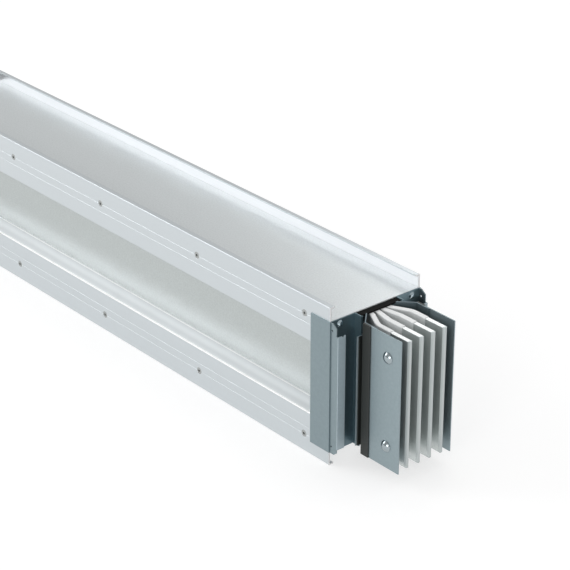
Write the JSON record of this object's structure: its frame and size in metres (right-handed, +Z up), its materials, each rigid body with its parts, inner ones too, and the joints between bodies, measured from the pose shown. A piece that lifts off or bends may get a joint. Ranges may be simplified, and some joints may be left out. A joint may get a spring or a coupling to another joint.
{
  "type": "straight busway section",
  "caption": "Straight section of sandwich busway: insulated flat bars in a white aluminium case, fanned out at both ends into bare tabs between earth plates for a joint.",
  "frame": {"origin": "middle of the length and width, on the floor under the case's lower flanges", "axes": "+X along the section towards the pictured joint end, +Y across to the far side, +Z up"},
  "size_m": [1.198, 0.158, 0.23],
  "materials": {
    "painted_profile": "smooth white powder coat over extruded aluminium",
    "painted_cover": "smooth white powder coat over folded aluminium sheet",
    "black_insulation": "black matt insulating plastic",
    "conductor": "bright rolled aluminium bar with a fine lengthwise grain",
    "bar_insulation": "pale satin insulating film",
    "galvanised_sheet": "hot dip galvanised steel sheet, blue grey with a faint mottle",
    "plated_screw": "bright zinc plated steel",
    "case_screw": "stainless steel"
  },
  "bodies": {
    "root": {"side_profile_near": "painted_profile", "side_profile_far": "painted_profile", "top_cover": "painted_cover", "bottom_cover": "painted_cover", "top_insulator": "black_insulation", "bottom_insulator": "black_insulation", "busbar_1": "conductor", "bar_wrap_1": "bar_insulation", "busbar_2": "conductor", "bar_wrap_2": "bar_insulation", "busbar_3": "conductor", "bar_wrap_3": "bar_insulation", "busbar_4": "conductor", "bar_wrap_4": "bar_insulation", "earth_sheet_near_right": "galvanised_sheet", "earth_sheet_far_right": "galvanised_sheet", "earth_sheet_near_left": "galvanised_sheet", "earth_sheet_far_left": "galvanised_sheet", "earth_plate_near_right": "galvanised_sheet", "earth_plate_far_right": "galvanised_sheet", "earth_plate_near_left": "galvanised_sheet", "earth_plate_far_left": "galvanised_sheet", "end_sheet_near_right": "galvanised_sheet", "end_sheet_far_right": "galvanised_sheet", "end_sheet_near_left": "galvanised_sheet", "end_sheet_far_left": "galvanised_sheet", "joint_flange_near_right": "galvanised_sheet", "joint_flange_far_right": "galvanised_sheet", "joint_flange_near_left": "galvanised_sheet", "joint_flange_far_left": "galvanised_sheet", "edge_strip_near_right": "black_insulation", "edge_strip_far_right": "black_insulation", "edge_strip_near_left": "black_insulation", "edge_strip_far_left": "black_insulation", "plate_studs_near_right": "plated_screw", "plate_studs_far_right": "plated_screw", "plate_studs_near_left": "plated_screw", "plate_studs_far_left": "plated_screw", "end_screws_right": "plated_screw", "end_screws_left": "plated_screw", "case_screws_near": "case_screw", "case_screws_far": "case_screw"}
  },
  "joints": []
}
